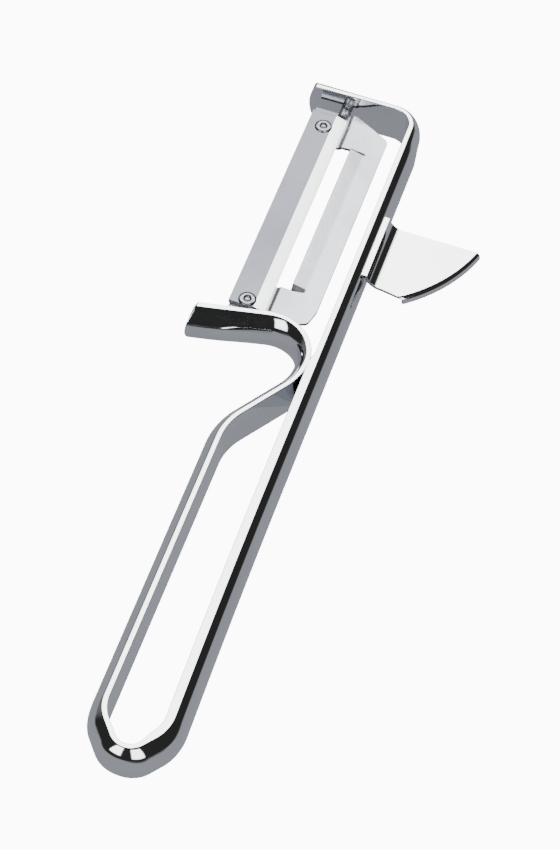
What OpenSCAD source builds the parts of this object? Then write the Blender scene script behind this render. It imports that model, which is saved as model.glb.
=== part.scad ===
// Side-blade swivel peeler with an eye gouge.
// A single chrome-plated bar is bent into a handle loop and two arms.
// A slotted blade holder swings between the arms on two pins.
// Frame of reference: +Y runs along the handle towards the head, +Z is up,
// the bar's flat lower lands rest on z = 0, and the origin is the centre of
// the whole tool's footprint.

/* [Bar] */
// Height of the bar, from the lower land to the upper land
bar_depth = 9.5; // [8:0.1:12]
// Width of the flat land along each edge of the bar
bar_land = 1.0; // [0.8:0.1:1.8]
// How far the bar's outer face bulges past its lands
bar_bulge = 2.8; // [1.5:0.1:3.5]
// Land width of the spine beside the handle, where the bar is thicker
spine_land = 1.65; // [1:0.05:2.2]

/* [Frame] */
// Overall length of the frame
frame_length = 180.5; // [165:0.5:200]
// Distance between the outer land edges of the handle's two sides
handle_width = 13.1; // [11:0.1:18]
// How far the spine leans outward by the foot of the handle
spine_flare = 0.7; // [0.2:0.1:2]
// Length over which the spine straightens above the foot
flare_length = 62; // [40:1:75]
// Radius of the top corner, on the land's outer edge
corner_r = 5.2; // [4.5:0.1:11]
// Reach of the upper arm to the left of the spine's land
upper_reach = 23.8; // [20:0.1:30]
// Reach of the lower arm to the left of the spine's land
lower_reach = 27.9; // [24:0.1:34]
// Slant of the lower arm in degrees
lower_slant = 11.7; // [6:0.1:16]
// How far each arm's end bulges past its lands
tip_bulge = 1.2; // [0.5:0.1:2]
// Radius of the S curve under the lower arm
throat_r = 9.0; // [7:0.1:11]
// Radius of the S curve below its contact with the spine
throat_exit_r = 13.5; // [10:0.5:18]
// Radius where the S curve becomes the handle's left side
shoulder_r = 14.5; // [10:0.5:18]
// Lean of the S curve's straight part in degrees
throat_lean = 33; // [26:0.5:40]
// Depth that the S curve is sunk in the spine where they are joined
joint_sink = 0.25; // [0.1:0.05:0.5]
// Radius where each handle side turns into the foot
foot_side_r = 8.5; // [5:0.1:10]
// Radius at the very end of the foot
foot_tip_r = 4.0; // [2.5:0.1:5]
// Turn from each handle side to the foot's leg in degrees
foot_turn = 38; // [30:0.5:50]

/* [Blade assembly] */
// Length of the blade holder
holder_length = 62.8; // [50:0.2:80]
// Gap between the holder and the arm at either end
neck_gap = 1.8; // [1.2:0.1:3]
// Distance of the swivel axis to the left of the spine's land
pivot_reach = 16.2; // [15:0.1:18]
// Sheet thickness of the holder
holder_t = 0.7; // [0.5:0.1:1]
// Holder width on the left of the swivel axis
holder_left = 6.5; // [5:0.1:8]
// Holder width on the right of the swivel axis
holder_right = 11.65; // [10.5:0.05:12.5]
// Rise of the holder's right part over its left flange
joggle_rise = 0.6; // [0.3:0.1:1]
// Distance from the slot to the holder's lower end
slot_end = 9.1; // [7:0.1:14]
// Distance from the holder's upper end to the slot
slot_start = 10.3; // [7:0.1:14]
// Distance from the swivel axis to the slot's right side
slot_right = 4.6; // [3.6:0.1:5.5]
// Rise of the lip's edge over the sheet
lip_rise = 0.9; // [0.4:0.1:1.4]
// Width of the sloping lip
lip_width = 3.6; // [2.5:0.1:5]
// Width of the cutting strip
strip_width = 8.1; // [6:0.1:10]
// Distance from the holder's upper end to the strip
strip_end_gap = 1.7; // [1.2:0.1:3]
// Distance from the strip to the holder's lower end
strip_low_gap = 1.5; // [1.2:0.1:3]
// Thickness of the cutting strip
strip_t = 0.9; // [0.6:0.1:1.4]
// Width of the ground bevel on the strip
bevel_width = 2.6; // [1.5:0.1:3.5]
// Thickness left at the ground edge
edge_t = 0.08; // [0.05:0.01:0.2]
// Distance from the strip's left edge to the rivets' centres
rivet_inset = 3.7; // [3:0.1:4.2]
// Distance from the holder's upper end to the upper rivet's centre
rivet_end_gap = 6.0; // [4:0.1:8]
// Distance from the lower rivet's centre to the holder's lower end
rivet_low_gap = 3.0; // [3:0.1:8]
// Radius of a rivet's shank
rivet_r = 1.0; // [0.8:0.05:1.3]
// Radius of a rivet's rolled head
rivet_head_r = 1.95; // [1.6:0.05:2.4]

/* [Pins] */
// Radius of the pin's journal in the arm
journal_r = 0.95; // [0.8:0.05:1.1]
// Running clearance between journal and bore, on the radius
journal_clear = 0.05; // [0.02:0.01:0.1]
// Radius of the pin's forked body
pin_r = 1.3; // [1.2:0.05:1.6]
// Depth of each bore in its arm
bore_depth = 2.6; // [2:0.1:3]
// Length of the holder gripped by each pin's fork
fork_grip = 1.1; // [0.8:0.1:1.4]
// End play between a pin's shoulder and its arm
end_play = 0.4; // [0.3:0.05:0.6]

/* [Eye gouge] */
// Reach of the gouge's point to the right of the spine's land
gouge_reach = 23.3; // [18:0.1:28]
// Length of the gouge along the spine
gouge_root = 18.0; // [14:0.2:24]
// Distance from the frame's upper land to the gouge's straight side
gouge_drop = 31.7; // [26:0.1:40]
// Thickness of the gouge's sheet
gouge_t = 0.75; // [0.6:0.05:1.2]
// Length of the gouge's short lower side, from the spine's land
gouge_foot = 11.0; // [8:0.1:14]
// Radius of the gouge's curved side
gouge_rim_r = 36; // [26:1:60]
// Height of the turned-down rim
gouge_rim_h = 1.9; // [1.2:0.1:3]
// Inner radius of the gouge's bend against the spine
gouge_bend_r = 1.9; // [1.4:0.1:2.4]
// Depth that the brazed flange is let in the bar's face
braze_sink = 0.05; // [0.02:0.01:0.1]

/* [Hidden] */
$fn = 72;

cut = 1;              // extra length of cutting shapes past a surface
lap = 1;              // extra turn of a bend before it is trimmed, in degrees
step_ease = 0.01;     // every second step of the bar stands back by this much
mid_z = bar_depth / 2;

// Radius of the bar's convex outer face, and of the arms' convex ends
face_r = (mid_z * mid_z + bar_bulge * bar_bulge) / (2 * bar_bulge);
tip_r = (mid_z * mid_z + tip_bulge * tip_bulge) / (2 * tip_bulge);

// Places across the tool. The footprint is centred on x = 0.
spine_x = (lower_reach + tip_bulge - gouge_reach) / 2;
left_x = spine_x - handle_width;
pivot_x = spine_x - pivot_reach;

// Places along the tool. The footprint is centred on y = 0.
top_y = frame_length / 2 - bar_bulge;
upper_face_y = top_y - bar_land;
window = holder_length + 2 * neck_gap;
lower_face_y = upper_face_y - window;
holder_top_y = upper_face_y - neck_gap;
holder_low_y = lower_face_y + neck_gap;

// The S curve. Its reference line is the outer edge of the bar's land.
contact_x = spine_x - spine_land + joint_sink - bar_land;
slant_c = cos(lower_slant);
slant_s = sin(lower_slant);
slant_ref_y = lower_face_y - bar_land / slant_c;
throat_run = (contact_x - throat_r * (1 + slant_s) - pivot_x) / slant_c;
arm_end_x = pivot_x + throat_run * slant_c;
arm_end_y = slant_ref_y + throat_run * slant_s;
contact_y = arm_end_y - throat_r * slant_c;
lean_c = cos(throat_lean);
lean_s = sin(throat_lean);
s_span = contact_x - left_x;
s_run = (s_span - (throat_exit_r + shoulder_r) * (1 - lean_c)) / lean_s;
exit_y = contact_y - throat_exit_r * lean_s;
shoulder_y = exit_y - s_run * lean_c - shoulder_r * lean_s;
step_y = contact_y + 1;              // the spine is thicker below this
arm_start_x = spine_x - lower_reach - tip_bulge - cut;
arm_run = (arm_end_x - arm_start_x) / slant_c;

// The foot of the handle
foot_c = cos(foot_turn);
foot_s = sin(foot_turn);
flare_a = 2 * atan(spine_flare / flare_length);
flare_r = flare_length / sin(flare_a);
foot_leg = (handle_width + spine_flare - foot_side_r * (1 + cos(flare_a) - 2 * foot_c)
            - 2 * foot_tip_r * foot_c) / (2 * foot_s);
foot_low_y = bar_bulge - frame_length / 2;
foot_y = foot_low_y + foot_tip_r * (1 - foot_s) + foot_leg * foot_c + foot_side_r * foot_s;
flare_y = foot_y + foot_side_r * sin(flare_a);

// Heights in the blade assembly
flange_z = mid_z - holder_t / 2;      // underside of the holder's flange
flange_top = flange_z + holder_t;
plate_z = flange_z + joggle_rise;     // underside of its right part
joggle_left = 1.8;                    // where the joggle starts and ends,
joggle_right = 2.8;                   // right of the swivel axis
slot_left = 0.8;                      // the slot's hidden left side
slot_top_y = holder_top_y - slot_start;
slot_low_y = holder_low_y + slot_end;
slot_length = slot_top_y - slot_low_y;
ramp = 1.5;                           // length of the lip's end ramps
corner_cut_x = 8.6;                   // the holder's cut upper corner
corner_cut_y = 4.9;
low_cut_x = 3.5;                      // the holder's eased lower corner
low_cut_y = 5.2;
ease_x = 0.9;
ease_y = 1.4;

strip_over = 0.25;                    // how far the strip overhangs the flange
strip_left = holder_left + strip_over;
strip_edge = strip_width - strip_left;
strip_top_y = holder_top_y - strip_end_gap;
rivet_x = pivot_x - strip_left + rivet_inset;
rivet_top_y = holder_top_y - rivet_end_gap;
rivet_low_y = holder_low_y + rivet_low_gap;
rivet_hole_clear = 0.02;
strip_top = flange_top + strip_t;

bore_r = journal_r + journal_clear;
bore_end_gap = 0.3;
bore_start = 0.5;
lower_tip_down = 12;                  // the lower arm's end lies within these
lower_tip_up = 4;                     // distances of the pivot's arm face

// The gouge
gouge_z = mid_z;                      // underside of its flat plate
gouge_top = gouge_z + gouge_t;
gouge_y = top_y - gouge_drop;
gouge_low_y = gouge_y - gouge_root;
bend_z = gouge_top + gouge_bend_r;
bend_x = spine_x + bar_bulge + gouge_bend_r;
flange_over = 1.8;                    // how far the flange runs past the plate
flange_short = 0.6;                   // how far it stops short of the lower side
heel_slope = 1.2;                     // rise of the short lower side at its root
point_r = 0.7;                        // rounding of the gouge's point

// ---- the bar's section and its path ----

// Half-round section, x = 0 on the land's outer edge, bulging towards +x.
// Every side stands back by `ease`.
module bar_section(land, ease)
    intersection() {
        translate([bar_bulge - face_r, mid_z]) circle(r = face_r - ease);
        translate([ease - land, ease])
            square([land + bar_bulge + cut, bar_depth - 2 * ease]);
    }

// Straight run along +x, flat face on its left
module straight_run(run, land, ease)
    rotate([90, 0, 90]) linear_extrude(height = run)
        mirror([1, 0]) bar_section(land, ease);

// Wedge about the origin, from the start plane x = 0 through the turn
module wedge(size, turn, side)
    intersection() {
        translate([0, -size, -cut]) cube([size, 2 * size, bar_depth + 2 * cut]);
        rotate([0, 0, side * turn])
            translate([-size, -size, -cut]) cube([size, 2 * size, bar_depth + 2 * cut]);
    }

// Facets in a full turn: the spine's long, slight bend needs many more
function bend_facets(r) = r > 20 * bar_depth ? 7200 : $fn;

// Bend to the left about the origin, flat face on the inside of the bend
module left_bend(r, turn, land, ease)
    intersection() {
        rotate([0, 0, -90 - lap])
            rotate_extrude(angle = turn + 2 * lap, $fn = bend_facets(r))
            translate([r, 0]) bar_section(land, ease);
        wedge(2 * r + 4 * bar_bulge, turn, 1);
    }

// Bend to the right about the origin, flat face on the outside of the bend
module right_bend(r, turn, land, ease)
    intersection() {
        rotate([0, 0, 90 - turn - lap])
            rotate_extrude(angle = turn + 2 * lap, $fn = bend_facets(r))
            translate([r, 0]) mirror([1, 0]) bar_section(land, ease);
        wedge(2 * r + 4 * bar_bulge, turn, -1);
    }

// The bar as it is bent, step by step, from the lower arm to the upper arm.
// Each step is its turn to the left in degrees (0 for a straight run), its
// length or radius on the land's outer edge, and its land width.
bar_path = [
    [0, arm_run, bar_land],                                     // lower arm
    [-90 - lower_slant, throat_r, bar_land],                    // S curve
    [-throat_lean, throat_exit_r, bar_land],
    [0, s_run, bar_land],
    [throat_lean, shoulder_r, bar_land],
    [0, shoulder_y - foot_y, bar_land],                         // left side
    [foot_turn, foot_side_r, bar_land],                         // foot
    [0, foot_leg, bar_land],
    [180 - 2 * foot_turn, foot_tip_r, bar_land],
    [0, foot_leg, bar_land],
    [foot_turn + flare_a, foot_side_r, bar_land],
    [-flare_a, flare_r, spine_land],                            // spine
    [0, step_y - flare_y - flare_length, spine_land],
    [0, top_y - corner_r - step_y, bar_land],
    [90, corner_r, bar_land],                                   // top corner
    [0, upper_reach - corner_r + tip_bulge + cut, bar_land]     // upper arm
];

module bent_bar(i) {
    if (i < len(bar_path)) {
        turn = bar_path[i][0];
        size = bar_path[i][1];
        land = bar_path[i][2];
        ease = i % 2 * step_ease;
        if (turn == 0) {
            straight_run(size, land, ease);
            translate([size, 0, 0]) bent_bar(i + 1);
        } else if (turn > 0) {
            translate([0, size, 0]) {
                left_bend(size, turn, land, ease);
                rotate([0, 0, turn]) translate([0, -size, 0]) bent_bar(i + 1);
            }
        } else {
            translate([0, -size, 0]) {
                right_bend(size, -turn, land, ease);
                rotate([0, 0, turn]) translate([0, size, 0]) bent_bar(i + 1);
            }
        }
    }
}

// Everything left of an arm's convex end, its lands ending at x
module past_tip(x, y0, y1)
    difference() {
        translate([x - tip_bulge - 3 * cut, y0, -cut])
            cube([tip_bulge + 3 * cut + tip_r / 2, y1 - y0, bar_depth + 2 * cut]);
        translate([x - tip_bulge + tip_r, y0 - cut, mid_z]) rotate([-90, 0, 0])
            cylinder(r = tip_r, h = y1 - y0 + 2 * cut, $fn = 180);
    }

module pivot_bore(y, depth_y)
    translate([pivot_x, y, mid_z]) rotate([-90, 0, 0]) cylinder(r = bore_r, h = depth_y);

module frame()
    color("silver")
    difference() {
        translate([arm_start_x, arm_end_y - arm_run * slant_s, 0])
            rotate([0, 0, lower_slant]) bent_bar(0);
        past_tip(spine_x - upper_reach, upper_face_y - cut, top_y + bar_bulge + cut);
        past_tip(spine_x - lower_reach, lower_face_y - lower_tip_down,
                 lower_face_y + lower_tip_up);
        pivot_bore(upper_face_y - bore_start, bore_depth + bore_start);
        pivot_bore(lower_face_y - bore_depth, bore_depth + bore_start);
    }

// ---- the eye gouge ----

// Plan of the plate: straight upper side, curved side, short lower side
module gouge_plan(inset) {
    tip = [spine_x + gouge_reach - point_r, gouge_y - point_r];
    heel = [spine_x + gouge_foot, gouge_low_y + point_r];
    dx = tip[0] - heel[0];
    dy = tip[1] - heel[1];
    chord = sqrt(dx * dx + dy * dy);
    sag = sqrt(gouge_rim_r * gouge_rim_r - chord * chord / 4);
    cx = (tip[0] + heel[0]) / 2 - sag * dy / chord;
    cy = (tip[1] + heel[1]) / 2 + sag * dx / chord;
    difference() {
        intersection() {
            translate([spine_x + bar_bulge / 2, gouge_low_y])
                square([gouge_reach - bar_bulge / 2, gouge_root]);
            translate([cx, cy]) circle(r = gouge_rim_r + point_r - inset, $fn = 360);
        }
        polygon([[heel[0], gouge_low_y], [spine_x + bar_bulge / 2, gouge_low_y],
                 [spine_x + bar_bulge / 2, gouge_low_y + heel_slope]]);
    }
}

// Turned-down rim along the curved side
module gouge_rim()
    translate([0, 0, gouge_top - gouge_rim_h])
        linear_extrude(height = gouge_rim_h)
            difference() {
                gouge_plan(0);
                gouge_plan(gouge_t);
            }

// Flange bent up against the bar's convex face
module gouge_flange()
    difference() {
        translate([spine_x + bar_bulge / 2, gouge_low_y + flange_short, gouge_z])
            cube([bend_x - spine_x - bar_bulge / 2,
                  gouge_root + flange_over - flange_short, bend_z - gouge_z]);
        translate([bend_x, gouge_low_y, bend_z]) rotate([-90, 0, 0])
            cylinder(r = gouge_bend_r, h = gouge_root + flange_over + cut);
        translate([bend_x, gouge_y + flange_over, gouge_z - cut])
            cylinder(r = flange_over, h = bend_z - gouge_z + 2 * cut);
    }

module eye_gouge()
    color("gainsboro")
    difference() {
        union() {
            translate([0, 0, gouge_z]) linear_extrude(height = gouge_t) gouge_plan(0);
            gouge_rim();
            gouge_flange();
        }
        translate([spine_x + bar_bulge - face_r - braze_sink, gouge_low_y - cut, mid_z])
            rotate([-90, 0, 0])
                cylinder(r = face_r, h = gouge_root + flange_over + 2 * cut);
    }

// ---- the blade assembly ----

// Vertical-sided plan of the holder, without its slot
module holder_plan()
    polygon([[pivot_x - holder_left, holder_low_y],
             [pivot_x + holder_right - low_cut_x - ease_x, holder_low_y],
             [pivot_x + holder_right - ease_x, holder_low_y + ease_y],
             [pivot_x + holder_right, holder_low_y + low_cut_y],
             [pivot_x + holder_right, holder_top_y - corner_cut_y],
             [pivot_x + holder_right - corner_cut_x, holder_top_y],
             [pivot_x - holder_left, holder_top_y]]);

// Profile of the joggled sheet, drawn across the tool
module sheet_profile()
    polygon([[pivot_x - holder_left - cut, flange_z],
             [pivot_x + joggle_left, flange_z],
             [pivot_x + joggle_right, plate_z],
             [pivot_x + holder_right + cut, plate_z],
             [pivot_x + holder_right + cut, plate_z + holder_t],
             [pivot_x + joggle_right, plate_z + holder_t],
             [pivot_x + joggle_left, flange_top],
             [pivot_x - holder_left - cut, flange_top]]);

module along_y(y0, y1)
    translate([0, y1, 0]) rotate([90, 0, 0]) linear_extrude(height = y1 - y0) children();

// Solid under the lip's raised surface: sloping across, ramped at both ends
module lip_mass(lift)
    intersection() {
        along_y(slot_low_y - cut, slot_top_y + cut)
            polygon([[pivot_x + slot_right, plate_z - 2 * cut + lift],
                     [pivot_x + slot_right + lip_width, plate_z - 2 * cut + lift],
                     [pivot_x + slot_right + lip_width, plate_z + lift],
                     [pivot_x + slot_right, plate_z + lip_rise + lift]]);
        translate([pivot_x, 0, 0]) rotate([90, 0, 90]) linear_extrude(height = holder_right)
            polygon([[slot_low_y, plate_z - 2 * cut + lift],
                     [slot_top_y, plate_z - 2 * cut + lift],
                     [slot_top_y, plate_z + lift],
                     [slot_top_y - ramp, plate_z + lip_rise + lift],
                     [slot_low_y + ramp, plate_z + lip_rise + lift],
                     [slot_low_y, plate_z + lift]]);
    }

module blade_holder()
    color("lightsteelblue")
    difference() {
        union() {
            difference() {
                intersection() {
                    along_y(holder_low_y - cut, holder_top_y + cut) sheet_profile();
                    linear_extrude(height = bar_depth) holder_plan();
                }
                translate([pivot_x + slot_left, slot_low_y, 0])
                    cube([slot_right + lip_width - slot_left, slot_length, bar_depth]);
            }
            difference() {
                lip_mass(holder_t);
                lip_mass(0);
            }
        }
        for (y = [rivet_top_y, rivet_low_y])
            translate([rivet_x, y, 0]) cylinder(r = rivet_r + rivet_hole_clear, h = bar_depth);
    }

module cutting_blade()
    color("slategray")
    difference() {
        along_y(holder_low_y + strip_low_gap, strip_top_y)
            polygon([[pivot_x - strip_left, flange_top],
                     [pivot_x + strip_edge, flange_top],
                     [pivot_x + strip_edge, flange_top + edge_t],
                     [pivot_x + strip_edge - bevel_width, strip_top],
                     [pivot_x - strip_left, strip_top]]);
        for (y = [rivet_top_y, rivet_low_y])
            translate([rivet_x, y, 0]) cylinder(r = rivet_r + rivet_hole_clear, h = bar_depth);
    }

// Tubular rivet: rolled head above the strip, low dome under the holder
module rivet() {
    roll = 0.42;      // radius of the rolled edge
    well = 0.55;      // depth of the shank's open end below the strip's top
    dish = 0.12;      // thickness left under the head's hollow
    rotate_extrude() difference() {
        union() {
            translate([0, flange_z]) square([rivet_r, strip_top - flange_z + roll / 2]);
            translate([0, strip_top]) square([rivet_head_r - roll, roll]);
            intersection() {
                translate([rivet_head_r - roll, strip_top]) circle(r = roll);
                translate([0, strip_top]) square([rivet_head_r, roll]);
            }
            translate([0, flange_z - roll]) square([rivet_head_r - roll, roll]);
            intersection() {
                translate([rivet_head_r - roll, flange_z]) circle(r = roll);
                translate([0, flange_z - roll]) square([rivet_head_r, roll]);
            }
        }
        translate([0, strip_top + dish]) square([rivet_head_r - 2 * roll, roll]);
        translate([0, strip_top - well]) square([rivet_r / 2, well + roll]);
    }
}

module strip_rivets()
    color("gray")
    for (y = [rivet_top_y, rivet_low_y])
        translate([rivet_x, y, 0]) rivet();

// Stepped pin along +Y. The fork starts at y = 0 and grips the holder's end.
module pivot_pin(neck, journal)
    difference() {
        union() {
            rotate([-90, 0, 0]) cylinder(r = pin_r, h = fork_grip + neck);
            translate([0, fork_grip + neck - journal_r / 2, 0]) rotate([-90, 0, 0])
                cylinder(r = journal_r, h = journal + journal_r / 2);
        }
        translate([-pin_r - cut, -cut, -holder_t / 2])
            cube([2 * (pin_r + cut), cut + fork_grip, holder_t]);
    }

module upper_pivot_pin()
    color("dimgray")
    translate([pivot_x, holder_top_y - fork_grip, mid_z])
        pivot_pin(neck_gap - end_play, bore_depth + end_play - bore_end_gap);

module lower_pivot_pin()
    color("dimgray")
    translate([pivot_x, holder_low_y + fork_grip, mid_z]) rotate([0, 0, 180])
        pivot_pin(neck_gap - end_play - pin_r * slant_s / slant_c,
                  bore_depth + end_play - bore_end_gap + pin_r * slant_s / slant_c);

frame();
eye_gouge();
upper_pivot_pin();
lower_pivot_pin();
blade_holder();
cutting_blade();
strip_rivets();
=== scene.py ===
"""Looks for a side-blade peeler: a bent chromed bar, a swivelling slotted blade and an eye gouge.

Every size inside the classes is in millimetres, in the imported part's own frame. A finished mesh is
brought to metres when it becomes a piece.
"""

from __future__ import annotations

import logging
import math
from dataclasses import dataclass, field
from enum import Enum

import bmesh
import bpy
from mathutils import Matrix, Vector


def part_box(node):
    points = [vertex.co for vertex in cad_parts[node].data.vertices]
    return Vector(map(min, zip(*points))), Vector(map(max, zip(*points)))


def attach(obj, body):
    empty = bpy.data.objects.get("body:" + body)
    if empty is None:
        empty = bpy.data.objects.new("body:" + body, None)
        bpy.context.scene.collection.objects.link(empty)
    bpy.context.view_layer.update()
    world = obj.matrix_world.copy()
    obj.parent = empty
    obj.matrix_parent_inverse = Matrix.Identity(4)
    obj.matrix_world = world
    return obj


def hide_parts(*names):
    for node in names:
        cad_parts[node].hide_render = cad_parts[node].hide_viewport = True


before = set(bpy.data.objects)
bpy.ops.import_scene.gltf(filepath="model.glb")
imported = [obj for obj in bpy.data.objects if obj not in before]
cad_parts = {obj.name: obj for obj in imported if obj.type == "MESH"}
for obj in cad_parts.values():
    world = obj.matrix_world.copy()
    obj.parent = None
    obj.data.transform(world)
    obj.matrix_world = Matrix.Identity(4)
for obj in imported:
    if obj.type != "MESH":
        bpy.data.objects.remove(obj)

LOG = logging.getLogger("peeler")
MM = 0.001
UP = Vector((0, 0, 1))


# ---------------------------------------------------------------- small helpers


def corners(node: str) -> tuple[Vector, Vector]:
    """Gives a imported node's lowest and highest corners in millimetres.

    Args:
        node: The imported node's name.

    Returns:
        The lowest corner and the highest corner.
    """
    low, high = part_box(node)
    return low / MM, high / MM


def circle_through(half_chord: float, rise: float) -> float:
    """Gives the radius of the arc that rises by `rise` over a chord of twice `half_chord`."""
    return (half_chord * half_chord + rise * rise) / (2 * rise)


def ring_verts(edges: list[bmesh.types.BMEdge]) -> list[bmesh.types.BMVert]:
    """Lists the corners of some edges, each one once and in a fixed order."""
    return list(dict.fromkeys(v for e in edges for v in e.verts))


def split_at(bm: bmesh.types.BMesh, point: Vector, normal: Vector) -> None:
    """Cuts the whole mesh along a plane and keeps both sides.

    Args:
        bm: The mesh.
        point: A point on the plane.
        normal: The plane's normal.
    """
    geom = list(bm.verts) + list(bm.edges) + list(bm.faces)
    bmesh.ops.bisect_plane(bm, geom=geom, dist=1e-4, plane_co=point, plane_no=normal)


def face_up(bm: bmesh.types.BMesh) -> None:
    """Turns a sheet's faces to one side, the side that faces mostly up."""
    bmesh.ops.recalc_face_normals(bm, faces=list(bm.faces))
    if sum(f.normal.z * f.calc_area() for f in bm.faces) < 0:
        bmesh.ops.reverse_faces(bm, faces=list(bm.faces))


def smooth_step(low: float, high: float, value: float) -> float:
    """Rises from 0 at `low` to 1 at `high` along an S curve."""
    t = min(1.0, max(0.0, (value - low) / (high - low)))
    return t * t * (3 - 2 * t)


# ---------------------------------------------------------------- finishes


class Grain(Enum):
    """The way in which a finish's fine lines run."""

    NONE = (1.0, 1.0, 1.0)
    ALONG = (9.0, 0.25, 9.0)
    ACROSS = (0.3, 7.0, 7.0)


@dataclass(frozen=True)
class Finish:
    """A metal finish, made as a procedural material.

    Sizes of patterns are per metre, as Object coordinates are in metres.
    """

    name: str
    slot: str
    colour: tuple[float, float, float]
    dull_colour: tuple[float, float, float]
    roughness: tuple[float, float]
    grain: Grain = Grain.NONE
    grain_scale: float = 900.0
    grain_height: float = 0.0
    wave_scale: float = 60.0
    wave_height: float = 0.0
    anisotropic: float = 0.0

    def material(self) -> bpy.types.Material:
        """Builds the finish's material, or gives it back if it was built before.

        Returns:
            The material.
        """
        made = bpy.data.materials.get(self.name + "_finish")
        if made:
            return made
        made = bpy.data.materials.new(self.name + "_finish")
        made.use_nodes = True
        nodes, links = made.node_tree.nodes, made.node_tree.links
        shader = nodes["Principled BSDF"]
        shader.inputs["Metallic"].default_value = 1.0
        shader.inputs["Anisotropic"].default_value = self.anisotropic
        place = nodes.new("ShaderNodeTexCoord")

        tint = nodes.new("ShaderNodeTexNoise")
        tint.inputs["Scale"].default_value = self.wave_scale
        tint.inputs["Detail"].default_value = 4
        links.new(place.outputs["Object"], tint.inputs["Vector"])
        colour = nodes.new("ShaderNodeMix")
        colour.data_type = "RGBA"
        colour.inputs[6].default_value = (*self.colour, 1)
        colour.inputs[7].default_value = (*self.dull_colour, 1)
        blend = nodes.new("ShaderNodeMapRange")
        blend.inputs["From Min"].default_value = 0.45
        blend.inputs["From Max"].default_value = 0.75
        links.new(tint.outputs["Fac"], blend.inputs["Value"])
        links.new(blend.outputs["Result"], colour.inputs[0])
        links.new(colour.outputs[2], shader.inputs["Base Color"])

        lines = nodes.new("ShaderNodeTexNoise")
        lines.inputs["Scale"].default_value = self.grain_scale
        lines.inputs["Detail"].default_value = 6
        lines.inputs["Roughness"].default_value = 0.6
        turn = nodes.new("ShaderNodeMapping")
        turn.inputs["Scale"].default_value = self.grain.value
        links.new(place.outputs["Object"], turn.inputs["Vector"])
        links.new(turn.outputs["Vector"], lines.inputs["Vector"])
        rough = nodes.new("ShaderNodeMapRange")
        rough.inputs["From Min"].default_value = 0.3
        rough.inputs["From Max"].default_value = 0.7
        rough.inputs["To Min"].default_value = self.roughness[0]
        rough.inputs["To Max"].default_value = self.roughness[1]
        links.new(lines.outputs["Fac"], rough.inputs["Value"])
        links.new(rough.outputs["Result"], shader.inputs["Roughness"])

        normal = None
        if self.wave_height:
            normal = self._bump(made, tint.outputs["Fac"], self.wave_height, normal)
        if self.grain_height:
            normal = self._bump(made, lines.outputs["Fac"], self.grain_height, normal)
        if normal:
            links.new(normal, shader.inputs["Normal"])
        return made

    def _bump(
        self,
        made: bpy.types.Material,
        height: bpy.types.NodeSocket,
        metres: float,
        before: bpy.types.NodeSocket | None,
    ) -> bpy.types.NodeSocket:
        """Adds a bump of the given height after the bumps that are there.

        Args:
            made: The material.
            height: The socket with the pattern.
            metres: The bump's height.
            before: The normal socket of the bump before, if any.

        Returns:
            The new bump's normal socket.
        """
        bump = made.node_tree.nodes.new("ShaderNodeBump")
        bump.inputs["Strength"].default_value = 1.0
        bump.inputs["Distance"].default_value = metres
        made.node_tree.links.new(height, bump.inputs["Height"])
        if before:
            made.node_tree.links.new(before, bump.inputs["Normal"])
        return bump.outputs["Normal"]


BAR_CHROME = Finish(
    name="bar_chrome", slot="chromed_bar",
    colour=(0.80, 0.81, 0.83), dull_colour=(0.74, 0.75, 0.78),
    roughness=(0.03, 0.075), grain_scale=300.0,
    wave_scale=70.0, wave_height=0.00002,
)
SHEET_CHROME = Finish(
    name="sheet_chrome", slot="chromed_sheet",
    colour=(0.84, 0.85, 0.86), dull_colour=(0.78, 0.79, 0.81),
    roughness=(0.05, 0.10), grain_scale=300.0,
    wave_scale=60.0, wave_height=0.00002,
)
CUT_CHROME = Finish(
    name="cut_chrome", slot="chromed_sheet",
    colour=(0.42, 0.43, 0.45), dull_colour=(0.34, 0.35, 0.37),
    roughness=(0.22, 0.38), grain=Grain.ACROSS, grain_scale=900.0,
    grain_height=0.000008, wave_scale=300.0,
)
HOLDER_STEEL = Finish(
    name="holder_steel", slot="holder_steel",
    colour=(0.40, 0.41, 0.435), dull_colour=(0.33, 0.34, 0.365),
    roughness=(0.20, 0.32), grain=Grain.ALONG, grain_scale=1400.0,
    grain_height=0.000006, wave_scale=90.0, wave_height=0.00001,
    anisotropic=0.2,
)
# Dark finish with two uses: the holder's real sheared cut edges, and painted shade on the lip's ramp
# ends, where the darkness stands in for the bend's shading and is not the metal's colour.
SHEARED_EDGE_AND_PAINTED_SHADE = Finish(
    name="sheared_edge_and_painted_shade", slot="holder_steel",
    colour=(0.16, 0.16, 0.18), dull_colour=(0.09, 0.09, 0.10),
    roughness=(0.4, 0.6), grain=Grain.ACROSS, grain_scale=900.0,
    grain_height=0.00001, wave_scale=400.0,
)
STRIP_STEEL = Finish(
    name="strip_steel", slot="strip_steel",
    colour=(0.172, 0.180, 0.206), dull_colour=(0.142, 0.149, 0.174),
    roughness=(0.30, 0.42), grain=Grain.ACROSS, grain_scale=1600.0,
    grain_height=0.000006, wave_scale=60.0, wave_height=0.000008,
)
BEVEL_STEEL = Finish(
    name="bevel_steel", slot="strip_steel",
    colour=(0.66, 0.67, 0.69), dull_colour=(0.58, 0.59, 0.62),
    roughness=(0.16, 0.26), grain=Grain.ACROSS, grain_scale=2600.0,
    grain_height=0.000006, wave_scale=60.0,
)
RIVET_STEEL = Finish(
    name="rivet_steel", slot="rivet_steel",
    colour=(0.24, 0.247, 0.268), dull_colour=(0.13, 0.134, 0.15),
    roughness=(0.16, 0.34), grain_scale=1500.0,
    grain_height=0.00001, wave_scale=900.0, wave_height=0.00001,
)
PIN_STEEL = Finish(
    name="pin_steel", slot="pin_steel",
    colour=(0.30, 0.31, 0.33), dull_colour=(0.18, 0.18, 0.20),
    roughness=(0.3, 0.5), grain=Grain.ACROSS, grain_scale=1200.0,
    grain_height=0.00001, wave_scale=500.0,
)


# ---------------------------------------------------------------- pieces


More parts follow.
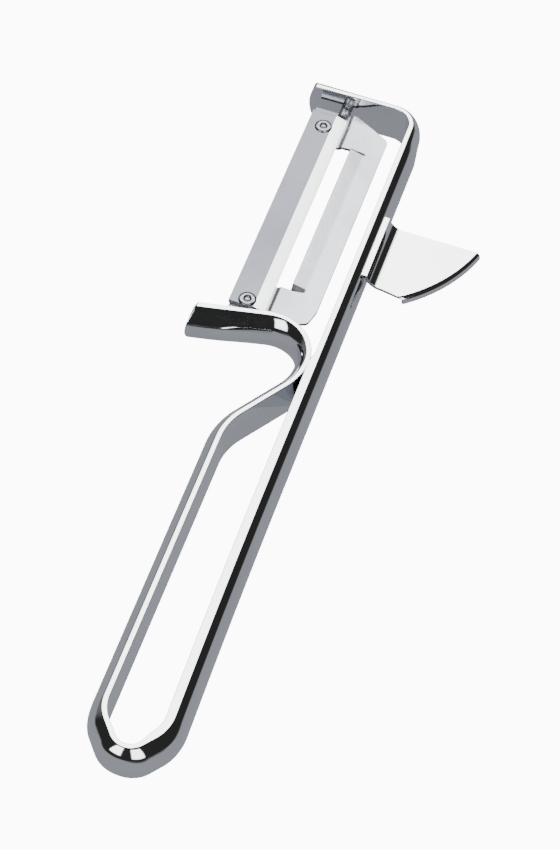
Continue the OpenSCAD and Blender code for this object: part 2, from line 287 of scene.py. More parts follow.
def make_piece(
    bm: bmesh.types.BMesh, name: str, body: str, finishes: list[Finish], nodes: tuple[str, ...] = ()
) -> bpy.types.Object:
    """Turns a mesh drawn in millimetres into a piece that rides on a body.

    Args:
        bm: The mesh, which is used up.
        name: The piece's name.
        body: The body that it moves with.
        finishes: Its finishes, in the order of its faces' material numbers.
        nodes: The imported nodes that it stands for.

    Returns:
        The piece.
    """
    bmesh.ops.scale(bm, vec=(MM, MM, MM), verts=list(bm.verts))
    mesh = bpy.data.meshes.new(name)
    for face in bm.faces:
        face.smooth = True
    bm.to_mesh(mesh)
    bm.free()
    for finish in finishes:
        mesh.materials.append(finish.material())
    piece = bpy.data.objects.new(name, mesh)
    bpy.context.scene.collection.objects.link(piece)
    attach(piece, body)
    if nodes:
        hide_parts(*nodes)
    LOG.info("%s: %d faces on %s", name, len(mesh.polygons), body)
    return piece


def round_edges(piece: bpy.types.Object, width: float, segments: int, angle: float) -> None:
    """Rounds a piece's sharp edges and keeps its flat faces flat to the light.

    Args:
        piece: The piece.
        width: The rounding's width in millimetres.
        segments: Faces across the rounding.
        angle: Edges sharper than this many degrees are rounded.
    """
    bevel = piece.modifiers.new("rounding", "BEVEL")
    bevel.width = width * MM
    bevel.segments = segments
    bevel.limit_method = "ANGLE"
    bevel.angle_limit = math.radians(angle)
    bevel.use_clamp_overlap = False
    bevel.miter_outer = "MITER_ARC"
    flat_light(piece)


def thicken(piece: bpy.types.Object, sheet: float, side: int) -> None:
    """Gives a surface the thickness of its sheet, with its cut edges in the next finish.

    Args:
        piece: The piece.
        sheet: The thickness in millimetres.
        side: 1 to add it on the faces' outer side, -1 on the inner one.
    """
    wall = piece.modifiers.new("sheet", "SOLIDIFY")
    wall.thickness = sheet * MM
    wall.offset = side
    wall.use_even_offset = True
    wall.material_offset_rim = 1


def flat_light(piece: bpy.types.Object) -> None:
    """Weights a piece's normals by face size, so wide flat faces reflect as flats."""
    weighted = piece.modifiers.new("flat_light", "WEIGHTED_NORMAL")
    weighted.weight = 60
    weighted.keep_sharp = False


@dataclass
class Bar:
    """The bent bar: handle loop, spine, S curve and two arms, swept as one skin."""

    land: float = 1.0
    spine_land: float = 1.65
    bulge: float = 2.8
    edge_round: float = 0.2
    handle_width: float = 13.1
    spine_flare: float = 0.7
    flare_length: float = 62.0
    corner_r: float = 5.2
    upper_reach: float = 23.8
    lower_slant: float = 11.7
    tip_bulge: float = 1.2
    throat_r: float = 9.0
    throat_exit_r: float = 13.5
    shoulder_r: float = 14.5
    throat_lean: float = 33.0
    joint_sink: float = 0.25
    foot_side_r: float = 8.5
    foot_tip_r: float = 4.0
    foot_turn: float = 38.0
    neck_gap: float = 1.8
    arm_bulge: float = 3.6
    throat_bulge: float = 2.2
    side_bulge: float = 2.3
    leg_bulge: float = 3.0
    toe_bulge: float = 2.6
    foot_lean: float = 0.35
    corner_bulge: float = 2.0
    corner_taper: float = 6.0
    arc_steps: int = 28
    degrees_per_step: float = 2.0
    longest_step: float = 3.0
    level_count: int = 15
    blend: float = 3.0
    tip_round: float = 0.25
    low: Vector = field(default_factory=lambda: corners("frame")[0])
    high: Vector = field(default_factory=lambda: corners("frame")[1])
    holder_low: Vector = field(default_factory=lambda: corners("blade_holder")[0])

    def __post_init__(self) -> None:
        """Works out the bar's places from its box and its sizes."""
        self.depth = self.high.z
        self.mid_z = self.depth / 2
        self.spine_x = self.high.x - self.spine_flare - self.bulge
        self.left_x = self.spine_x - self.handle_width
        self.lower_tip_x = self.low.x + self.tip_bulge
        self.upper_tip_x = self.spine_x - self.upper_reach
        self.top_y = self.high.y - self.bulge
        self.foot_low_y = self.low.y + self.bulge
        self.lower_face_y = self.holder_low.y - self.neck_gap
        self.face_r = circle_through(self.mid_z, self.bulge)
        self.tip_r = circle_through(self.mid_z, self.tip_bulge)
        gaps = self.level_count + 1
        self.levels = [
            self.mid_z - (self.mid_z - 2 * self.edge_round) * math.cos(math.pi * i / gaps)
            for i in range(1, gaps)
        ]
        self.bulge_now = self.bulge
        self.pen = Matrix.Identity(4)
        self.ring: list[bmesh.types.BMEdge] = []

    def section(self, bm: bmesh.types.BMesh) -> None:
        """Draws the bar's half-round section in the plane x = 0, flat face at the left.

        Args:
            bm: The empty mesh.
        """
        half_turn = math.asin(self.mid_z / self.face_r)
        start = bm.verts.new((0, 0, 0))
        centre = Vector((0, self.face_r - self.bulge, self.mid_z))
        bmesh.ops.spin(
            bm, geom=[start], cent=centre, axis=(1, 0, 0), angle=-2 * half_turn,
            steps=self.arc_steps, use_merge=False, use_duplicate=False,
        )
        arc = sorted(bm.verts, key=lambda v: v.co.z)
        inner = [bm.verts.new((0, self.land, z)) for z in (self.depth, 0)]
        bm.faces.new(arc + inner)
        bmesh.ops.bevel(
            bm, geom=[arc[0], arc[-1], *inner], offset=self.edge_round, segments=5,
            profile=0.5, affect="VERTICES", material=-1, clamp_overlap=True,
        )
        for z in self.levels:
            split_at(bm, Vector((0, 0, z)), UP)

    def set_bulge(self, verts: list[bmesh.types.BMVert], bulge: float) -> None:
        """Lets the newest ring's outer face bulge more or less.

        Args:
            verts: The ring's corners, which lie on the pen's plane.
            bulge: How far they bulge past the lands.
        """
        ratio = bulge / self.bulge_now
        back = self.pen.inverted()
        for v in verts:
            local = back @ v.co
            if local.y < 0:
                local.y *= ratio
                v.co = self.pen @ local
        self.bulge_now = bulge

    def end_on_tip(self, verts: list[bmesh.types.BMVert], tip_x: float) -> None:
        """Slides an end face along the bar on to the arm's convex end.

        Args:
            verts: The end face's corners.
            tip_x: Where the arm's lands end.
        """
        heading = self.pen.to_3x3() @ Vector((1, 0, 0))
        for v in verts:
            drop = self.tip_r - math.sqrt(self.tip_r**2 - (v.co.z - self.mid_z) ** 2)
            target = tip_x - self.tip_bulge + drop
            v.co += heading * ((target - v.co.x) / heading.x)

    def flatten(self) -> None:
        """Brings the newest ring along the bar on to the pen's plane."""
        back = self.pen.inverted()
        for v in ring_verts(self.ring):
            local = back @ v.co
            local.x = 0
            v.co = self.pen @ local

    def straight(
        self, bm: bmesh.types.BMesh, run: float, widen: float = 0.0, bulge: float = 0.0
    ) -> None:
        """Draws the bar on by a straight run.

        Args:
            bm: The mesh.
            run: The run's length.
            widen: How much wider the lands are at its end.
            bulge: The outer face's bulge at its end, or 0 to keep it.
        """
        steps = max(1, math.ceil(run / self.longest_step))
        first, last = self.bulge_now, bulge or self.bulge_now
        axes = self.pen.to_3x3()
        for i in range(steps):
            made = bmesh.ops.extrude_edge_only(bm, edges=self.ring)["geom"]
            new = {g for g in made if isinstance(g, bmesh.types.BMVert)}
            verts = [g for g in made if isinstance(g, bmesh.types.BMVert)]
            self.ring = [
                g for g in made
                if isinstance(g, bmesh.types.BMEdge) and g.verts[0] in new and g.verts[1] in new
            ]
            bmesh.ops.translate(bm, vec=axes @ Vector((run / steps, 0, 0)), verts=verts)
            if widen:
                back = self.pen.inverted()
                side = [v for v in verts if (back @ v.co).y > self.land / 2]
                bmesh.ops.translate(bm, vec=axes @ Vector((0, widen / steps, 0)), verts=side)
            self.pen = self.pen @ Matrix.Translation((run / steps, 0, 0))
            self.set_bulge(verts, first + (last - first) * smooth_step(0, steps, i + 1))

    def bend(
        self, bm: bmesh.types.BMesh, radius: float, turn: float, bulge: float = 0.0
    ) -> None:
        """Draws the bar on round a bend.

        Args:
            bm: The mesh.
            radius: The bend's radius on the land's outer edge.
            turn: Its turn to the left, in degrees.
            bulge: The outer face's bulge at its end, or 0 to keep it.
        """
        run = radius * math.radians(abs(turn))
        steps = max(math.ceil(abs(turn) / self.degrees_per_step),
                    math.ceil(run / self.longest_step))
        first, last = self.bulge_now, bulge or self.bulge_now
        to_centre = Matrix.Translation((0, math.copysign(radius, turn), 0))
        centre = (self.pen @ to_centre).translation
        angle = math.radians(turn) / steps
        turned = Matrix.Rotation(angle, 4, "Z")
        for i in range(steps):
            made = bmesh.ops.spin(
                bm, geom=ring_verts(self.ring) + self.ring, cent=centre, axis=UP,
                angle=angle, steps=1, use_merge=False, use_duplicate=False,
            )
            self.ring = [g for g in made["geom_last"] if isinstance(g, bmesh.types.BMEdge)]
            self.pen = self.pen @ to_centre @ turned @ to_centre.inverted()
            level = first + (last - first) * smooth_step(0, steps, i + 1)
            self.set_bulge(ring_verts(self.ring), level)

    def sweep(self, bm: bmesh.types.BMesh) -> None:
        """Draws the bar from the lower arm, round the S curve and the foot, to the upper arm."""
        slant = math.radians(self.lower_slant)
        lean = math.radians(self.throat_lean)
        foot = math.radians(self.foot_turn)
        contact_x = self.spine_x - self.spine_land + self.joint_sink - self.land
        pivot_x = sum(c.x for c in corners("upper_pivot_pin")) / 2
        arm_end_x = contact_x - self.throat_r * (1 + math.sin(slant))
        arm_end_y = (self.lower_face_y - self.land / math.cos(slant)
                     + (arm_end_x - pivot_x) * math.tan(slant))
        contact_y = arm_end_y - self.throat_r * math.cos(slant)
        bends_r = self.throat_exit_r + self.shoulder_r
        s_run = (contact_x - self.left_x - bends_r * (1 - math.cos(lean))) / math.sin(lean)
        shoulder_y = contact_y - bends_r * math.sin(lean) - s_run * math.cos(lean)
        flare = 2 * math.atan(self.spine_flare / self.flare_length)
        leg = ((self.handle_width + self.spine_flare
                - self.foot_side_r * (1 + math.cos(flare) - 2 * math.cos(foot))
                - 2 * self.foot_tip_r * math.cos(foot)) / (2 * math.sin(foot)))
        foot_y = (self.foot_low_y + self.foot_tip_r * (1 - math.sin(foot))
                  + (leg + self.foot_lean) * math.cos(foot) + self.foot_side_r * math.sin(foot))
        widen = self.spine_land - self.land

        arm = (arm_end_x - self.lower_tip_x) / math.cos(slant)
        start = Vector((self.lower_tip_x, arm_end_y - arm * math.sin(slant), 0))
        self.section(bm)
        self.pen = Matrix.Translation(start) @ Matrix.Rotation(slant, 4, "Z")
        bmesh.ops.transform(bm, matrix=self.pen, verts=list(bm.verts))
        self.set_bulge(list(bm.verts), self.arm_bulge)
        self.end_on_tip(list(bm.verts), self.lower_tip_x)
        self.ring = [e for e in bm.edges if e.is_boundary]
        self.straight(bm, self.blend)
        self.flatten()
        self.straight(bm, arm - self.blend, bulge=self.bulge)
        self.bend(bm, self.throat_r, -90 - self.lower_slant, self.throat_bulge)
        self.bend(bm, self.throat_exit_r, -self.throat_lean)
        self.straight(bm, s_run)
        self.bend(bm, self.shoulder_r, self.throat_lean, self.side_bulge)
        self.straight(bm, shoulder_y - foot_y)
        self.bend(bm, self.foot_side_r, self.foot_turn, self.leg_bulge)
        self.straight(bm, leg + self.foot_lean)
        self.bend(bm, self.foot_tip_r, 90 - self.foot_turn, self.toe_bulge)
        self.bend(bm, self.foot_tip_r, 90 - self.foot_turn, self.leg_bulge)
        self.straight(bm, leg - self.foot_lean, widen)
        self.bend(bm, self.foot_side_r, self.foot_turn + math.degrees(flare), self.bulge)
        self.bend(bm, self.flare_length / math.sin(flare), -math.degrees(flare), self.bulge)
        self.straight(bm, contact_y - self.pen.translation.y)
        self.straight(bm, self.blend, -widen)
        corner_y = self.top_y - self.corner_r
        self.straight(bm, corner_y - self.corner_taper - self.pen.translation.y)
        self.straight(bm, self.corner_taper, bulge=self.corner_bulge)
        self.bend(bm, self.corner_r, 90)
        self.straight(bm, self.pen.translation.x - self.upper_tip_x, bulge=self.bulge)
        last = set(ring_verts(self.ring))
        self.end_on_tip(list(last), self.upper_tip_x)
        bmesh.ops.contextual_create(bm, geom=self.ring)
        for z in self.levels:
            caps = [f for f in bm.faces if all(v in last for v in f.verts)]
            edges = list({e for f in caps for e in f.edges})
            bmesh.ops.bisect_plane(
                bm, geom=[*caps, *edges, *last], dist=1e-4,
                plane_co=Vector((0, 0, z)), plane_no=UP,
            )
        bmesh.ops.recalc_face_normals(bm, faces=list(bm.faces))

    def build(self) -> bpy.types.Object:
        """Makes the bar's piece.

        Returns:
            The piece.
        """
        bm = bmesh.new()
        self.sweep(bm)
        piece = make_piece(bm, "bent_bar", "frame", [BAR_CHROME], ("frame",))
        round_edges(piece, self.tip_round, 4, 50)
        return piece


@dataclass
class EyeGouge:
    """The fan-shaped gouge: a plate bent up at its root and down along its curved side."""

    sheet: float = 0.75
    bend_r: float = 3.6
    bend_turn: float = 75.0
    root_gap: float = 3.5
    lead: float = 1.25
    lead_rise: float = 0.1
    edge_round: float = 0.1
    reach: float = 22.9
    root: float = 18.0
    foot: float = 11.0
    heel_slope: float = 0.4
    rim_r: float = 36.0
    rim_out: float = 0.7
    rim_h: float = 1.9
    rim_bend: float = 1.3
    bulge: float = 2.8
    spine_flare: float = 0.7
    frame_high: Vector = field(default_factory=lambda: corners("frame")[1])
    low: Vector = field(default_factory=lambda: corners("eye_gouge")[0])

    def plate(self, bm: bmesh.types.BMesh) -> None:
        """Draws the plate's top face, and notes its curved side and its root.

        Args:
            bm: The empty mesh.
        """
        spine_x = self.frame_high.x - self.spine_flare - self.bulge
        self.top = self.frame_high.z / 2 + self.sheet
        self.root_x = spine_x + self.bulge + self.root_gap
        upper = self.low.y + self.root
        point = Vector((spine_x + self.reach, upper, self.top))
        heel = Vector((spine_x + self.foot, self.low.y, self.top))
        chord = point - heel
        sag = math.sqrt(self.rim_r**2 - chord.length_squared / 4)
        centre = (point + heel) / 2 + UP.cross(chord).normalized() * sag
        angle = 2 * math.asin(chord.length / 2 / self.rim_r)
        start = bm.verts.new(centre + (heel - centre) * (1 + self.rim_out / self.rim_r))
        bmesh.ops.spin(
            bm, geom=[start], cent=centre, axis=UP, angle=angle, steps=40,
            use_merge=False, use_duplicate=False,
        )
        self.rim = list(bm.edges)
        arc = sorted(bm.verts, key=lambda v: v.co.x)
        root_top = bm.verts.new((self.root_x, upper, self.top))
        root_low = bm.verts.new((self.root_x, self.low.y + self.heel_slope, self.top))
        bm.faces.new([*arc, root_top, root_low])

    def build(self) -> bpy.types.Object:
        """Makes the gouge's piece.

        Returns:
            The piece.
        """
        bm = bmesh.new()
        self.plate(bm)
        made = bmesh.ops.extrude_edge_only(bm, edges=self.rim)["geom"]
        rim_verts = [g for g in made if isinstance(g, bmesh.types.BMVert)]
        bmesh.ops.translate(bm, vec=(0, 0, -self.rim_h), verts=rim_verts)
        bmesh.ops.bevel(
            bm, geom=self.rim, offset=self.rim_bend, segments=6, profile=0.5,
            affect="EDGES", material=-1, clamp_overlap=True,
        )
        root = [e for e in bm.edges if e.is_boundary
                and all(abs(v.co.x - self.root_x) < 1e-3 for v in e.verts)]
        axis_at = Vector((self.root_x, 0, self.top + self.bend_r))
        made = bmesh.ops.spin(
            bm, geom=root + ring_verts(root), cent=axis_at, axis=(0, 1, 0),
            angle=math.radians(self.bend_turn), steps=14, use_merge=False, use_duplicate=False,
        )
        last = [g for g in made["geom_last"] if isinstance(g, bmesh.types.BMEdge)]
        made = bmesh.ops.extrude_edge_only(bm, edges=last)["geom"]
        ledge = [g for g in made if isinstance(g, bmesh.types.BMVert)]
        bmesh.ops.translate(bm, vec=(-self.lead, 0, self.lead_rise), verts=ledge)
        face_up(bm)
        piece = make_piece(
            bm, "eye_gouge_sheet", "frame", [SHEET_CHROME, CUT_CHROME], ("eye_gouge",)
        )
        thicken(piece, self.sheet, -1)
        round_edges(piece, self.edge_round, 3, 50)
        return piece


@dataclass
class BladeHolder:
    """The stamped sheet that carries the strip: joggled, slotted, with a raised lip."""

    sheet: float = 0.7
    joggle_from: float = 1.8
    joggle_to: float = 2.8
    joggle_rise: float = 0.6
    slot_left: float = 0.8
    slot_right: float = 4.6
    slot_start: float = 10.3
    slot_length: float = 43.4
    lip_rise: float = 1.2
    lip_width: float = 3.6
    ramp: float = 1.0
    corner_cut: tuple[float, float] = (8.6, 4.9)
    low_cut: tuple[float, float] = (3.5, 5.2)
    ease: tuple[float, float] = (0.9, 1.4)
    edge_round: float = 0.07
    corner_round: float = 0.7
    joggle_cuts: int = 6
    lip_cuts: int = 4
    # Share of the lip's width whose ramp ends get painted shade.
    painted_shade_share: float = 0.8
    low: Vector = field(default_factory=lambda: corners("blade_holder")[0])
    high: Vector = field(default_factory=lambda: corners("blade_holder")[1])

    def __post_init__(self) -> None:
        """Works out the swivel axis and the slot's ends."""
        self.pivot_x = sum(c.x for c in corners("upper_pivot_pin")) / 2
        self.slot_top = self.high.y - self.slot_start
        self.slot_low = self.slot_top - self.slot_length

    def height(self, x: float, y: float) -> float:
        """Gives the underside's height over the flange at a place.

        Args:
            x: Distance to the right of the swivel axis.
            y: Place along the tool.

        Returns:
            The height.
        """
        rise = self.joggle_rise * smooth_step(self.joggle_from, self.joggle_to, x)
        if x < self.slot_right - 1e-6:
            return rise
        across = 1 - min(1.0, (x - self.slot_right) / self.lip_width)
        along = (smooth_step(self.slot_low, self.slot_low + self.ramp, y)
                 * (1 - smooth_step(self.slot_top - self.ramp, self.slot_top, y)))
        return rise + self.lip_rise * across * along

    def build(self) -> bpy.types.Object:
        """Makes the holder's piece.

        Returns:
            The piece.
        """
        bm = bmesh.new()
        left, right = self.low.x, self.high.x
        plan = [
            (left, self.low.y),
            (right - self.low_cut[0] - self.ease[0], self.low.y),
            (right - self.ease[0], self.low.y + self.ease[1]),
            (right, self.low.y + self.low_cut[1]),
            (right, self.high.y - self.corner_cut[1]),
            (right - self.corner_cut[0], self.high.y),
            (left, self.high.y),
        ]
        verts = [bm.verts.new((x, y, 0)) for x, y in plan]
        bm.faces.new(verts)
        bmesh.ops.bevel(
            bm, geom=verts[1:6], offset=self.corner_round, segments=5, profile=0.5,
            affect="VERTICES", material=-1, clamp_overlap=True,
        )
        across = [self.slot_left, self.slot_right, self.slot_right + self.lip_width]
        joggle_step = (self.joggle_to - self.joggle_from) / self.joggle_cuts
        across += [self.joggle_from + joggle_step * i for i in range(self.joggle_cuts + 1)]
        across += [
            self.slot_right + self.lip_width * i / self.lip_cuts for i in range(1, self.lip_cuts)
        ]
        along = [self.slot_low, self.slot_top]
        for i in range(1, self.joggle_cuts + 1):
            step = self.ramp * i / self.joggle_cuts
            along += [self.slot_low + step, self.slot_top - step]
        for x in across:
            split_at(bm, Vector((self.pivot_x + x, 0, 0)), Vector((1, 0, 0)))
        for y in along:
            split_at(bm, Vector((0, y, 0)), Vector((0, 1, 0)))
        slot = [
            f for f in bm.faces
            if self.slot_left < f.calc_center_median().x - self.pivot_x < self.slot_right
            and self.slot_low < f.calc_center_median().y < self.slot_top
        ]
        bmesh.ops.delete(bm, geom=slot, context="FACES")
        for v in bm.verts:
            v.co.z = self.low.z + self.height(v.co.x - self.pivot_x, v.co.y)
        # Faces on the lip's ramp ends, across the given share of its width, take the dark second
        # finish: painted shade that stands in for the shading of the bends at the slot's ends.
        for f in bm.faces:
            middle = f.calc_center_median()
            past_slot = middle.x - self.pivot_x - self.slot_right
            over_lip = 0 < past_slot < self.painted_shade_share * self.lip_width
            end = min(abs(middle.y - self.slot_top), abs(middle.y - self.slot_low))
            inside = self.slot_low < middle.y < self.slot_top
            f.material_index = int(over_lip and inside and end < self.ramp)
        face_up(bm)
        piece = make_piece(
            bm, "holder_sheet", "blade", [HOLDER_STEEL, SHEARED_EDGE_AND_PAINTED_SHADE], ("blade_holder",)
        )
        thicken(piece, self.sheet, 1)
        round_edges(piece, self.edge_round, 2, 50)
        return piece


@dataclass
class CuttingStrip:
    """The hardened strip with its ground bevel, and the two rivets that hold it."""

    bevel: float = 2.6
    edge: float = 0.08
    edge_round: float = 0.06
    head_r: float = 1.95
    roll: float = 0.42
    shank_share: float = 0.55
    shank_gap: float = 0.1
    holder_sheet: float = 0.7
    low: Vector = field(default_factory=lambda: corners("cutting_blade")[0])
    high: Vector = field(default_factory=lambda: corners("cutting_blade")[1])
    rivets_low: Vector = field(default_factory=lambda: corners("strip_rivets")[0])
    rivets_high: Vector = field(default_factory=lambda: corners("strip_rivets")[1])

    def strip(self) -> bpy.types.Object:
        """Makes the strip's piece.

        Returns:
            The piece.
        """
        bm = bmesh.new()
        crease_x = self.high.x - self.bevel
        outline = [
            (self.low.x, self.low.z),
            (self.high.x, self.low.z),
            (self.high.x, self.low.z + self.edge),
            (crease_x, self.high.z),
            (self.low.x, self.high.z),
        ]
        face = bm.faces.new([bm.verts.new((x, self.low.y, z)) for x, z in outline])
        made = bmesh.ops.extrude_face_region(bm, geom=[face])["geom"]
        moved = [g for g in made if isinstance(g, bmesh.types.BMVert)]
        bmesh.ops.translate(bm, vec=(0, self.high.y - self.low.y, 0), verts=moved)
        bmesh.ops.recalc_face_normals(bm, faces=list(bm.faces))
        for e in bm.edges:
            on_crease = all(abs(v.co.x - crease_x) < 1e-4 for v in e.verts)
            if on_crease:
                e.smooth = False
        for f in bm.faces:
            if 0.1 < f.normal.x < 0.9 and f.normal.z > 0.5:
                f.material_index = 1
        piece = make_piece(
            bm, "cutting_strip", "blade", [STRIP_STEEL, BEVEL_STEEL], ("cutting_blade",)
        )
        round_edges(piece, self.edge_round, 2, 50)
        piece.modifiers["flat_light"].keep_sharp = True
        return piece

    def rivet(self, name: str, y: float) -> bpy.types.Object:
        """Makes one rivet: a rolled head with a dimple above, a low dome below.

        Args:
            name: The piece's name.
            y: Its place along the tool.

        Returns:
            The piece.
        """
        bm = bmesh.new()
        x = (self.rivets_low.x + self.rivets_high.x) / 2
        top, under = self.high.z, self.low.z - self.holder_sheet
        r, h = self.head_r, self.roll
        outline = [
            (0, top + 0.10 * h), (0.22 * r, top + 0.12 * h), (0.32 * r, top + 0.4 * h),
            (0.42 * r, top + 0.85 * h), (0.55 * r, top + h), (0.72 * r, top + 0.97 * h),
            (0.88 * r, top + 0.72 * h), (0.97 * r, top + 0.4 * h), (r, top),
            (self.shank_share * r, top - self.shank_gap),
            (self.shank_share * r, under + self.shank_gap),
            (r, under), (0.95 * r, under - 0.5 * h), (0.75 * r, under - 0.85 * h),
            (0.4 * r, under - h), (0, under - h),
        ]
        verts = [bm.verts.new((x + dx, y, z)) for dx, z in outline]
        edges = [bm.edges.new(pair) for pair in zip(verts, verts[1:])]
        bmesh.ops.spin(
            bm, geom=verts + edges, cent=(x, y, 0), axis=UP, angle=2 * math.pi,
            steps=48, use_merge=True, use_duplicate=False,
        )
        bmesh.ops.remove_doubles(bm, verts=list(bm.verts), dist=1e-4)
        bmesh.ops.recalc_face_normals(bm, faces=list(bm.faces))
        return make_piece(bm, name, "blade", [RIVET_STEEL], ("strip_rivets",))

    def build(self) -> list[bpy.types.Object]:
        """Makes the strip and its two rivets.

        Returns:
            The three pieces.
        """
        upper = self.rivets_high.y - self.head_r
        lower = self.rivets_low.y + self.head_r
        return [self.strip(), self.rivet("rivet_upper", upper), self.rivet("rivet_lower", lower)]


@dataclass
class PivotPins:
    """The two stepped pins that carry the holder's ends in the arms."""

    body_r: float = 1.3
    journal_r: float = 0.95
    chamfer: float = 0.15
    end_play: float = 0.4
    neck_gap: float = 1.8

    def pin(self, name: str, node: str, arm_y: float, way: float) -> bpy.types.Object:
        """Makes one pin.

        Args:
            name: The piece's name.
            node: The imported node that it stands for.
            arm_y: Where the arm's face is.
            way: 1 if the pin points up the tool, -1 if down.

        Returns:
            The piece.
        """
        low, high = corners(node)
        centre = (low + high) / 2
        fork_y, tip_y = (low.y, high.y) if way > 0 else (high.y, low.y)
        step_y = arm_y - way * self.end_play
        c = self.chamfer
        bm = bmesh.new()
        outline = [
            (0, fork_y), (self.body_r - c, fork_y), (self.body_r, fork_y + way * c),
            (self.body_r, step_y - way * c), (self.body_r - c, step_y),
            (self.journal_r, step_y), (self.journal_r, tip_y), (0, tip_y),
        ]
        verts = [bm.verts.new((centre.x + r, y, centre.z)) for r, y in outline]
        edges = [bm.edges.new(pair) for pair in zip(verts, verts[1:])]
        bmesh.ops.spin(
            bm, geom=verts + edges, cent=(centre.x, 0, centre.z), axis=(0, 1, 0),
            angle=2 * math.pi, steps=40, use_merge=True, use_duplicate=False,
        )
        bmesh.ops.remove_doubles(bm, verts=list(bm.verts), dist=1e-4)
        bmesh.ops.recalc_face_normals(bm, faces=list(bm.faces))
        piece = make_piece(bm, name, "blade", [PIN_STEEL], (node,))
        flat_light(piece)
        return piece

    def build(self) -> list[bpy.types.Object]:
        """Makes both pins.

        Returns:
            The two pieces.
        """
        holder_low, holder_high = corners("blade_holder")
        return [
            self.pin("pin_upper", "upper_pivot_pin", holder_high.y + self.neck_gap, 1),
            self.pin("pin_lower", "lower_pivot_pin", holder_low.y - self.neck_gap, -1),
        ]


# ---------------------------------------------------------------- studio


@dataclass(frozen=True)
class Panel:
    """A softbox or a dimly lit wall, as a window of directions from the object, in degrees.

    Azimuth 0 is towards the viewer's side and 90 towards the object's right.
    """

    azimuth: tuple[float, float]
    elevation: tuple[float, float]
    strength: float
    soft: float = 3.0


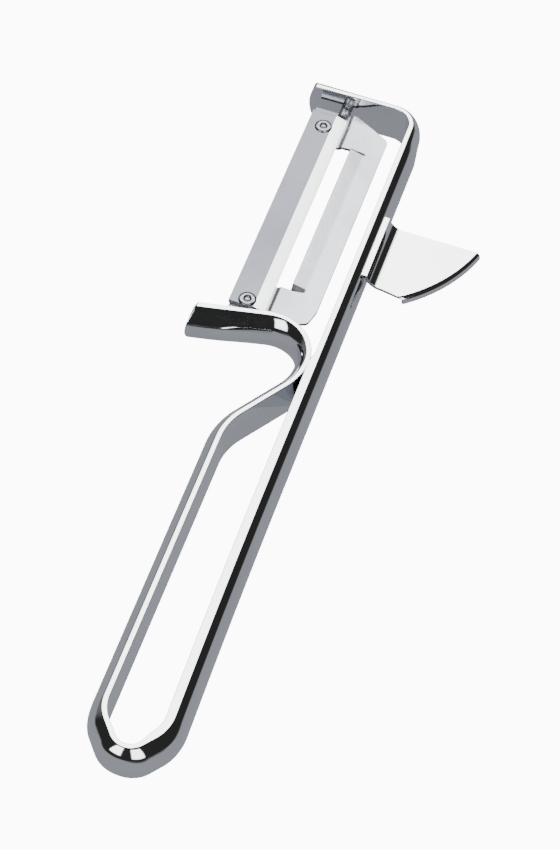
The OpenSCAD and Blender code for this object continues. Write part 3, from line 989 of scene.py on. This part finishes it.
@dataclass
class Studio:
    """The floor, the softboxes and the camera."""

    lens: float = 109.13
    place: Vector = field(default_factory=lambda: Vector((0.07142, -0.31455, 0.41801)))
    back: Vector = field(default_factory=lambda: Vector((0.136612, -0.595825, 0.791410)))
    upward: Vector = field(default_factory=lambda: Vector((-0.282585, 0.742267, 0.607606)))
    room: float = 0.028
    floor_white: float = 12.0
    glow_share: float = 0.93
    floor_roughness: float = 0.9
    floor_size: float = 6.0
    floor_grey: tuple[float, float, float] = (0.34, 0.355, 0.39)
    overhead: Panel = Panel(azimuth=(140, 245), elevation=(38, 88), strength=6.5, soft=6)
    front_right: Panel = Panel(azimuth=(19, 60), elevation=(18, 56), strength=5.0)
    front_left: Panel = Panel(azimuth=(-44, -12), elevation=(18, 56), strength=5.0)
    skirting: Panel = Panel(azimuth=(-180, 180), elevation=(-30, 2), strength=0.3, soft=4)
    left_wall: Panel = Panel(azimuth=(-165, -95), elevation=(-5, 34), strength=0.14, soft=8)

    def camera(self) -> bpy.types.Object:
        """Makes the camera.

        Returns:
            The camera.
        """
        data = bpy.data.cameras.new("viewer")
        data.lens = self.lens
        data.sensor_width = 36
        data.sensor_fit = "AUTO"
        data.clip_start = 0.01
        data.clip_end = 50
        camera = bpy.data.objects.new("viewer", data)
        back = self.back.normalized()
        across = self.upward.cross(back).normalized()
        upward = back.cross(across)
        turned = Matrix((across, upward, back)).transposed().to_4x4()
        camera.matrix_world = Matrix.Translation(self.place) @ turned
        bpy.context.scene.collection.objects.link(camera)
        bpy.context.scene.camera = camera
        return camera

    def floor(self) -> bpy.types.Object:
        """Makes the plain floor: white to the camera, an even grey in what the metal reflects.

        Returns:
            The floor.
        """
        bm = bmesh.new()
        bmesh.ops.create_grid(bm, x_segments=1, y_segments=1, size=self.floor_size)
        mesh = bpy.data.meshes.new("floor")
        bm.to_mesh(mesh)
        bm.free()
        floor = bpy.data.objects.new("floor", mesh)
        bpy.context.scene.collection.objects.link(floor)
        made = bpy.data.materials.new("floor_paper")
        made.use_nodes = True
        nodes, links = made.node_tree.nodes, made.node_tree.links
        paper = nodes["Principled BSDF"]
        paper.inputs["Base Color"].default_value = (*self.floor_grey, 1)
        paper.inputs["Roughness"].default_value = self.floor_roughness
        bounce = nodes.new("ShaderNodeEmission")
        bounce.inputs["Color"].default_value = (*self.floor_grey, 1)
        glow = nodes.new("ShaderNodeEmission")
        glow.inputs["Strength"].default_value = self.floor_white
        path = nodes.new("ShaderNodeLightPath")
        seen = nodes.new("ShaderNodeMixShader")
        links.new(path.outputs["Is Camera Ray"], seen.inputs[0])
        links.new(bounce.outputs[0], seen.inputs[1])
        links.new(glow.outputs[0], seen.inputs[2])
        mix = nodes.new("ShaderNodeMixShader")
        mix.inputs[0].default_value = self.glow_share
        links.new(paper.outputs[0], mix.inputs[1])
        links.new(seen.outputs[0], mix.inputs[2])
        links.new(mix.outputs[0], nodes["Material Output"].inputs["Surface"])
        mesh.materials.append(made)
        return floor

    def light(self) -> None:
        """Lights the studio: a dim room with soft panels in fixed directions.

        The camera sees a white backdrop in place of the room.
        """
        world = bpy.data.worlds.new("studio")
        bpy.context.scene.world = world
        world.use_nodes = True
        nodes, links = world.node_tree.nodes, world.node_tree.links

        def math_node(
            operation: str, *values: bpy.types.NodeSocket | float
        ) -> bpy.types.NodeSocket:
            """Adds a maths node with sockets or numbers as its inputs."""
            node = nodes.new("ShaderNodeMath")
            node.operation = operation
            for socket, value in zip(node.inputs, values):
                if isinstance(value, bpy.types.NodeSocket):
                    links.new(value, socket)
                else:
                    socket.default_value = value
            return node.outputs[0]

        def window(
            value: bpy.types.NodeSocket, low: float, high: float, soft: float
        ) -> bpy.types.NodeSocket:
            """Gives 1 between two angles and 0 outside them, with soft edges."""
            sides = []
            for start, end in ((low - soft, low + soft), (high + soft, high - soft)):
                node = nodes.new("ShaderNodeMapRange")
                node.interpolation_type = "SMOOTHSTEP"
                node.inputs["From Min"].default_value = start
                node.inputs["From Max"].default_value = end
                links.new(value, node.inputs["Value"])
                sides.append(node.outputs["Result"])
            return math_node("MULTIPLY", *sides)

        place = nodes.new("ShaderNodeTexCoord")
        split = nodes.new("ShaderNodeSeparateXYZ")
        links.new(place.outputs["Generated"], split.inputs[0])
        x, y, z = split.outputs
        azimuth = math_node("DEGREES", math_node("ARCTAN2", x, math_node("MULTIPLY", y, -1.0)))
        around = math_node("FLOORED_MODULO", azimuth, 360.0)
        elevation = math_node("DEGREES", math_node("ARCSINE", z))
        total: bpy.types.NodeSocket | float = self.room
        panels = (
            self.overhead, self.front_right, self.front_left, self.skirting, self.left_wall
        )
        for panel in panels:
            angle = around if panel.azimuth[1] > 180 else azimuth
            lit = math_node(
                "MULTIPLY",
                window(angle, *panel.azimuth, panel.soft),
                window(elevation, *panel.elevation, panel.soft),
            )
            total = math_node("ADD", math_node("MULTIPLY", lit, panel.strength), total)
        path = nodes.new("ShaderNodeLightPath")
        backdrop = math_node("MULTIPLY", path.outputs["Is Camera Ray"], self.floor_white)
        nodes["Background"].inputs["Color"].default_value = (1, 1, 1, 1)
        links.new(math_node("ADD", total, backdrop), nodes["Background"].inputs["Strength"])

    def build(self) -> None:
        """Sets up the whole studio."""
        self.camera()
        self.floor()
        self.light()


def dress_nodes() -> None:
    """Gives every carried-over node its finish."""
    for node, finish in (
        ("frame", BAR_CHROME),
        ("eye_gouge", SHEET_CHROME),
        ("upper_pivot_pin", PIN_STEEL),
        ("lower_pivot_pin", PIN_STEEL),
        ("blade_holder", HOLDER_STEEL),
        ("cutting_blade", STRIP_STEEL),
        ("strip_rivets", RIVET_STEEL),
    ):
        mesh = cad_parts[node].data
        mesh.materials.clear()
        mesh.materials.append(finish.material())


def main() -> None:
    """Builds every piece in order, then the studio."""
    logging.basicConfig(level=logging.INFO, format="%(message)s")
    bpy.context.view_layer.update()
    dress_nodes()
    Bar().build()
    EyeGouge().build()
    BladeHolder().build()
    CuttingStrip().build()
    PivotPins().build()
    Studio().build()


if __name__ == "__main__":
    main()
